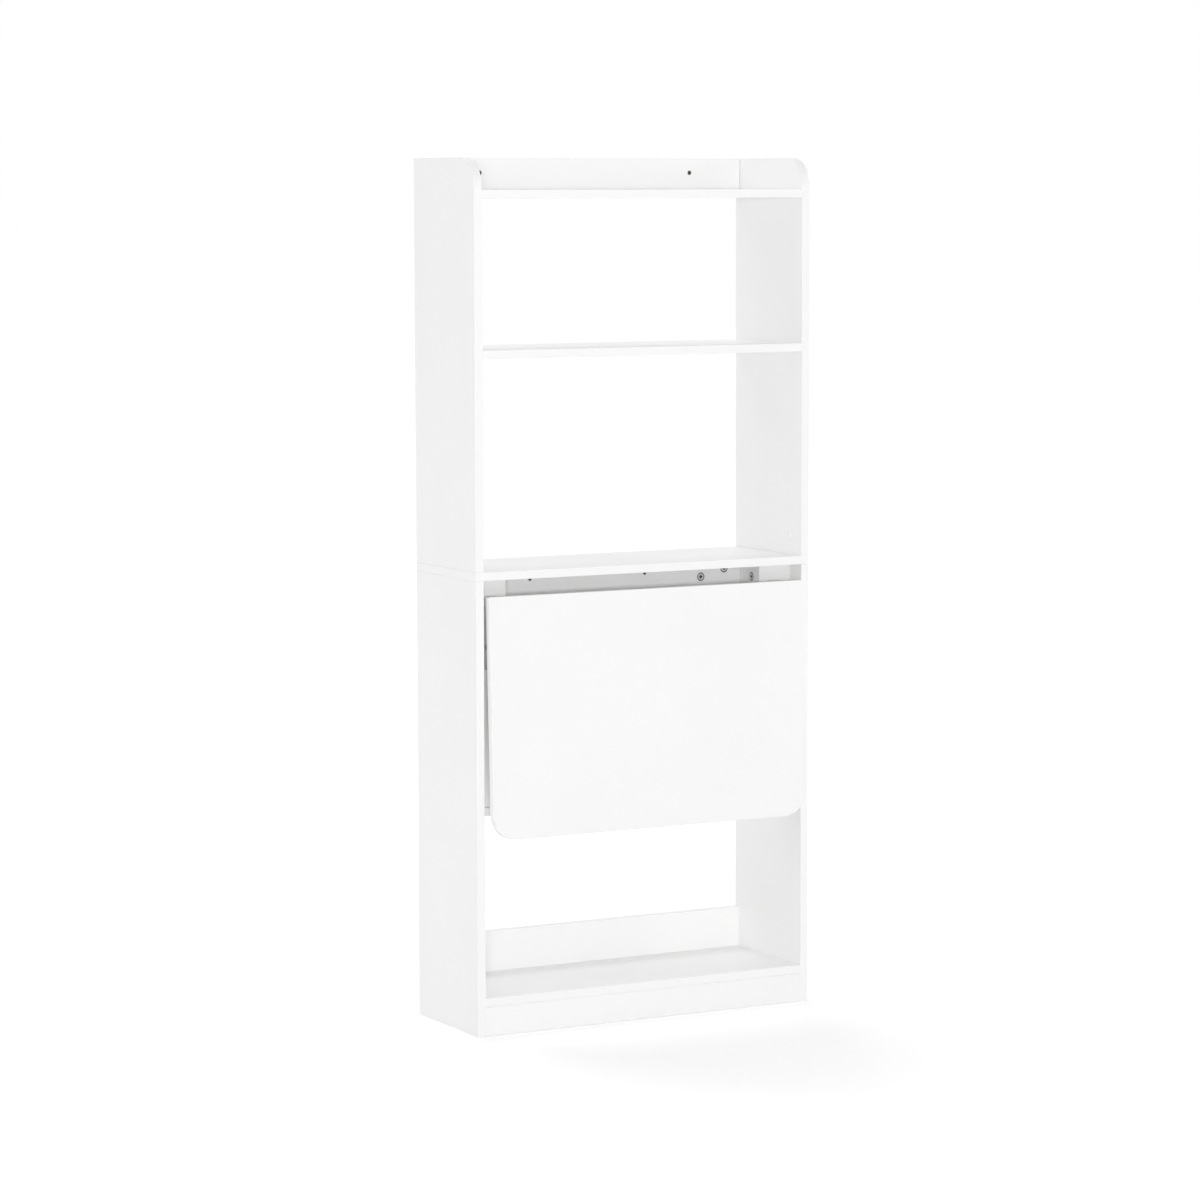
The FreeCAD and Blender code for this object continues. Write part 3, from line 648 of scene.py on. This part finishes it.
def addBrackets():
    for side in sides:
        bracePin = Vector(joints[side + "_brace_fold"]["pos_m"])
        leverPin = Vector(joints[side + "_lock_tilt"]["pos_m"])
        armPin = Vector((bracePin.x, leafPin.y, leafPin.z))
        hangArm, hangBase = hangFrom(armPin, restLean), hangFrom(armPin, 0)
        hangBrace, hangLever = hangFrom(bracePin, braceLean), hangFrom(leverPin, restLean)
        brace, lock = side + "_brace", side + "_lock"
        for name, look, place, body, stood in (
            ("_arm_channel", armSheet, hangArm, "leaf", "_bracket_arm"),
            ("_base_channel", baseSheet, hangBase, "carcass", "_bracket_base"),
            ("_brace_channel", braceSheet, hangBrace, brace, "_brace"),
        ):
            makePiece(side + name, pressChannel(look), place, body, powder,
                      [side + stood], look["sheet"], look["edge"])
        roll = turnPiece(bushRoll["profile"], braceLength)
        makePiece(side + "_bush_roll", roll, hangBrace, brace, nylon, [side + "_slide_bush"])
        axle = turnPiece(rivetProfile(*rivets["slide_axle"]), braceLength)
        makePiece(side + "_bush_rivet", axle, hangBrace, brace, zinc, [side + "_slide_axle"])
        blade = slab(leverBlade["corners"], leverBlade["sheet"])
        makePiece(side + "_lever_blade", blade, hangLever, lock, zinc,
                  [side + "_lock_lever"], roundEdge=leverBlade["edge"])
        makePiece(side + "_lever_tab", tabShape(), hangLever, lock, zinc,
                  roundEdge=leverTab["edge"])
        boss = turnPiece(leverBoss["profile"])
        makePiece(side + "_lever_boss", boss, hangLever, lock, zinc)
        for node, place, body in (
            ("pivot_pins", hangBase, "carcass"),
            ("brace_pins", hangFrom(bracePin, 0), "carcass"),
            ("lever_pins", hangLever, "leaf"),
        ):
            rivet = turnPiece(rivetProfile(*rivets[node]))
            makePiece(side + "_" + node[:-1], rivet, place, body, zinc, [node])


addBrackets()
print("brackets drawn, brace", round(braceLength, 1), "mm")


# cam fittings: a cast head with a sunk rim and a cross recess, on half a drum that hooks the bolt
# drawn with the face at the origin looking along Z and the bolt coming in along X, millimetres
camFitting = {
    "cross": 7.0, "slot": 2.6, "crossDepth": 2.8, "crossTaper": 0.75,
    "rings": [(5.75, 0.0), (5.9, -0.15), (5.95, -1.2), (7.3, -1.2), (7.5, -1.4), (7.5, -3.4)],
    "drumInner": 4.4, "drumOuter": 7.45, "drumTop": -3.3, "drumEnd": -12.5, "drumTurn": 200,
    "drumSteps": 20,
    # the painted shade of the cast finish starts this deep below the face
    "paintedShadeDepth": 0.8,
    "steps": 36,
}


def camShape():
    look = camFitting
    bm = bmesh.new()
    arm, waist = look["cross"] / 2 * mm, look["slot"] / 2 * mm
    firstRadius, faceLevel = look["rings"][0]
    tip = [(arm, -waist), (arm, waist), (waist, waist)]
    crossVerts = []
    for quarter in range(4):
        turn = Matrix.Rotation(math.radians(90 * quarter), 3, "Z")
        crossVerts += [bm.verts.new(turn @ Vector((x, y, faceLevel * mm))) for x, y in tip]
    crossEdges = [bm.edges.new(pair) for pair in zip(crossVerts, crossVerts[1:] + crossVerts[:1])]
    circle = bmesh.ops.create_circle(bm, radius=firstRadius * mm, segments=look["steps"])["verts"]
    bmesh.ops.translate(bm, vec=(0, 0, faceLevel * mm), verts=circle)
    rimEdges = [e for e in bm.edges if e not in crossEdges]
    bmesh.ops.triangle_fill(bm, use_beauty=True, edges=crossEdges + rimEdges, normal=(0, 0, 1))

    sunk = bmesh.ops.extrude_edge_only(bm, edges=crossEdges)["geom"]
    bmesh.ops.translate(bm, vec=(0, 0, -look["crossDepth"] * mm), verts=newVerts(sunk))
    taper = look["crossTaper"]
    bmesh.ops.scale(bm, vec=(taper, taper, 1), verts=newVerts(sunk))
    lowest = min(v.co.z for v in newVerts(sunk))
    deepEdges = [e for e in newEdges(sunk) if all(v.co.z < lowest + tolerance for v in e.verts)]
    bmesh.ops.contextual_create(bm, geom=deepEdges)

    radius, level = firstRadius, faceLevel
    for nextRadius, nextLevel in look["rings"][1:]:
        pulled = bmesh.ops.extrude_edge_only(bm, edges=rimEdges)["geom"]
        grown = nextRadius / radius
        bmesh.ops.scale(bm, vec=(grown, grown, 1), verts=newVerts(pulled))
        bmesh.ops.translate(bm, vec=(0, 0, (nextLevel - level) * mm), verts=newVerts(pulled))
        ring = set(newVerts(pulled))
        rimEdges = [e for e in newEdges(pulled) if ring.issuperset(e.verts)]
        radius, level = nextRadius, nextLevel
    bmesh.ops.contextual_create(bm, geom=rimEdges)

    inner, outer = look["drumInner"] * mm, look["drumOuter"] * mm
    top, end = look["drumTop"] * mm, look["drumEnd"] * mm
    start = Matrix.Rotation(math.radians(180 - look["drumTurn"] / 2), 3, "Z")
    section = ((inner, top), (outer, top), (outer, end), (inner, end))
    wall = bm.faces.new([bm.verts.new(start @ Vector((r, 0, z))) for r, z in section])
    bmesh.ops.spin(bm, geom=[wall], cent=(0, 0, 0), axis=(0, 0, 1), angle=math.radians(look["drumTurn"]),
                   steps=look["drumSteps"])
    closeUp(bm)
    # vertices deep in the recesses are marked for the painted shade
    recess = bm.verts.layers.float.new("recess")
    for vert in bm.verts:
        vert[recess] = 1.0 if vert.co.z < -look["paintedShadeDepth"] * mm else 0.0
    return bm


# where the cams sit, read from the solids of the frame
cadWeld = 0.001 * mm
faceDepth = 0.02 * mm         # points this near to an end lie on it


def solidPoints(name):  # the merged vertices of each solid in a node
    bm = bmesh.new()
    bm.from_mesh(nodes[name].data)
    bmesh.ops.remove_doubles(bm, verts=bm.verts, dist=cadWeld)
    solids, seen = [], set()
    for first in bm.verts:
        if first in seen:
            continue
        solid, queue = [], [first]
        seen.add(first)
        while queue:
            vert = queue.pop()
            solid.append(vert.co.copy())
            for near in (e.other_vert(vert) for e in vert.link_edges):
                if near not in seen:
                    seen.add(near)
                    queue.append(near)
        solids.append(solid)
    bm.free()
    return solids


def middleOf(points):
    return Vector((min(p[i] for p in points) + max(p[i] for p in points)) / 2 for i in range(3))


def camPlaces():
    bolts = [middleOf(solid) for solid in solidPoints("cam_bolts")]
    for solid in solidPoints("cam_locks"):
        middle = middleOf(solid)
        lows, highs = ([pick(p[i] for p in solid) for i in range(3)] for pick in (min, max))
        axis = min(range(3), key=lambda i: highs[i] - lows[i])
        atLow, atHigh = (sum(abs(p[axis] - end[axis]) < faceDepth for p in solid) for end in (lows, highs))
        opening = Vector((0, 0, 0))
        opening[axis] = 1 if atHigh > atLow else -1  # the face with the cross has more corners
        reach = min((bolt - middle for bolt in bolts), key=lambda way: way.length)
        run = max((i for i in range(3) if i != axis), key=lambda i: abs(reach[i]))
        toward = Vector((0, 0, 0))
        toward[run] = math.copysign(1, reach[run])
        turn = Matrix((toward, opening.cross(toward), opening)).transposed().to_4x4()
        face = middle + opening * (highs[axis] - lows[axis]) / 2
        yield Matrix.Translation(face) @ turn


def addCams():
    drawn = camShape()
    pattern = bpy.data.meshes.new("camPattern")
    drawn.to_mesh(pattern)
    drawn.free()
    bm = bmesh.new()
    places = list(camPlaces())
    for place in places:
        start = len(bm.verts)
        bm.from_mesh(pattern)
        bm.verts.ensure_lookup_table()
        bmesh.ops.transform(bm, matrix=place, verts=bm.verts[start:])
    bpy.data.meshes.remove(pattern)
    makePiece("cam_fittings", bm, Matrix.Identity(4), "carcass", cast, ["cam_locks"])
    return len(places)


print("cam fittings:", addCams())


# white floor and surround, soft light
studio = {
    "ambient": 0.564,
    "floorWhite": (0.90, 0.90, 0.90, 1),
    "floorLift": 0.26,        # added only where the floor is looked at
    "farLift": 0.54,          # the same far away, where it meets the surround
    "fadeStart": 0.3,
    "fadeEnd": 2.0,
    "floorHalf": 30.0,
    "floorDrop": 0.0002,
    "aim": (0.0, 0.0, 0.80),
    "bounces": 12,            # white boards throw light at each other
}
softboxes = {                 # level is the share of full white that a facing board gets
    "eyeKey": {
        "azimuth": -27, "elevation": 3.6, "distance": 12.0,
        "width": 2.0, "height": 0.8, "level": 0.319,
    },
    "frontFill": {
        "azimuth": 18, "elevation": 5.7, "distance": 12.0,
        "width": 5.0, "height": 0.8, "level": 0.042,
    },
    "leftSide": {
        "azimuth": -88, "elevation": 14, "distance": 8.0,
        "width": 3.4, "height": 2.6, "level": 0.095,
    },
    "rightSide": {
        "azimuth": 88, "elevation": 14, "distance": 8.0,
        "width": 3.4, "height": 2.6, "level": 0.20,
    },
    "backHigh": {
        "azimuth": 180, "elevation": 54, "distance": 8.0,
        "width": 5.0, "height": 3.4, "level": 0.285,
    },
}


def wayTo(azimuth, rise):  # degrees to the right of straight ahead along Y, and upwards
    azimuth, rise = math.radians(azimuth), math.radians(rise)
    return Vector((math.sin(azimuth) * math.cos(rise), math.cos(azimuth) * math.cos(rise), math.sin(rise)))


def lookedAt(f):  # 1 for the camera, reflections and what glass shows
    path = f.node("ShaderNodeLightPath")
    camera, glossy, through = (
        f.out(path, key) for key in ("Is Camera Ray", "Is Glossy Ray", "Is Transmission Ray")
    )
    return camera.most(glossy).most(through)


def makeFloor():
    bm = bmesh.new()
    bmesh.ops.create_grid(bm, x_segments=1, y_segments=1, size=studio["floorHalf"])
    mesh = bpy.data.meshes.new("studioFloor")
    bm.to_mesh(mesh)
    bm.free()
    floor = bpy.data.objects.new("studioFloor", mesh)
    floor.location.z = -studio["floorDrop"]
    bpy.context.scene.collection.objects.link(floor)
    f = newFinish("studio_floor")
    matt = f.out(f.node("ShaderNodeBsdfDiffuse", None, {"Color": studio["floorWhite"]}))
    x, y = f.axes(f.place())[:2]
    far = (x * x + y * y).root().ease(studio["fadeStart"], studio["fadeEnd"])
    strength = lookedAt(f) * (studio["floorLift"] + far * (studio["farLift"] - studio["floorLift"]))
    lift = f.out(f.node("ShaderNodeEmission", None, {"Strength": strength}))
    both = f.out(f.node("ShaderNodeAddShader", None, {0: matt, 1: lift}))
    f.node("ShaderNodeOutputMaterial", None, {"Surface": both})
    mesh.materials.append(f.owner)


def makeWorld():
    world = bpy.data.worlds.new("studioWorld")
    bpy.context.scene.world = world
    f = Finish(world)
    strength = studio["ambient"] + lookedAt(f) * (1 - studio["ambient"])
    sky = f.out(f.node("ShaderNodeBackground", None, {"Color": (1, 1, 1, 1), "Strength": strength}))
    f.node("ShaderNodeOutputWorld", None, {"Surface": sky})


def makeSoftbox(name, look):
    out = wayTo(180 - look["azimuth"], look["elevation"])  # counted from the front
    lamp = bpy.data.lights.new(name + "Softbox", "AREA")
    lamp.shape = "RECTANGLE"
    lamp.size = look["width"]
    lamp.size_y = look["height"]
    lamp.energy = look["level"] * math.pi ** 2 * look["distance"] ** 2
    box = bpy.data.objects.new(name + "Softbox", lamp)
    box.location = Vector(studio["aim"]) + out * look["distance"]
    box.rotation_euler = (-out).to_track_quat("-Z", "Y").to_euler()
    bpy.context.scene.collection.objects.link(box)


makeFloor()
makeWorld()
for name, look in softboxes.items():
    makeSoftbox(name, look)
print("studio ready")


# camera as the photograph was taken
shot = {
    "pictureSize": 1200,
    "focalPixels": 4077.0,
    "place": (-3.432, -6.2431, 1.447),
    "azimuth": 28.55,         # degrees to the right of straight ahead
    "pitch": -5.76,
    "roll": -0.13,
    "sensorWidth": 36.0,
    "clipEnd": 200.0,
}


def makeCamera():
    lens = bpy.data.cameras.new("shotCamera")
    lens.sensor_width = shot["sensorWidth"]
    lens.lens = lens.sensor_width * shot["focalPixels"] / shot["pictureSize"]
    lens.clip_end = shot["clipEnd"]
    camera = bpy.data.objects.new("shotCamera", lens)
    ahead = wayTo(shot["azimuth"], shot["pitch"])
    turn = ahead.to_track_quat("-Z", "Y") @ Quaternion((0, 0, 1), math.radians(shot["roll"]))
    camera.location = shot["place"]
    camera.rotation_euler = turn.to_euler()
    bpy.context.scene.collection.objects.link(camera)
    bpy.context.scene.camera = camera


makeCamera()
bpy.context.scene.view_settings.view_transform = "Standard"
bpy.context.scene.cycles.diffuse_bounces = studio["bounces"]
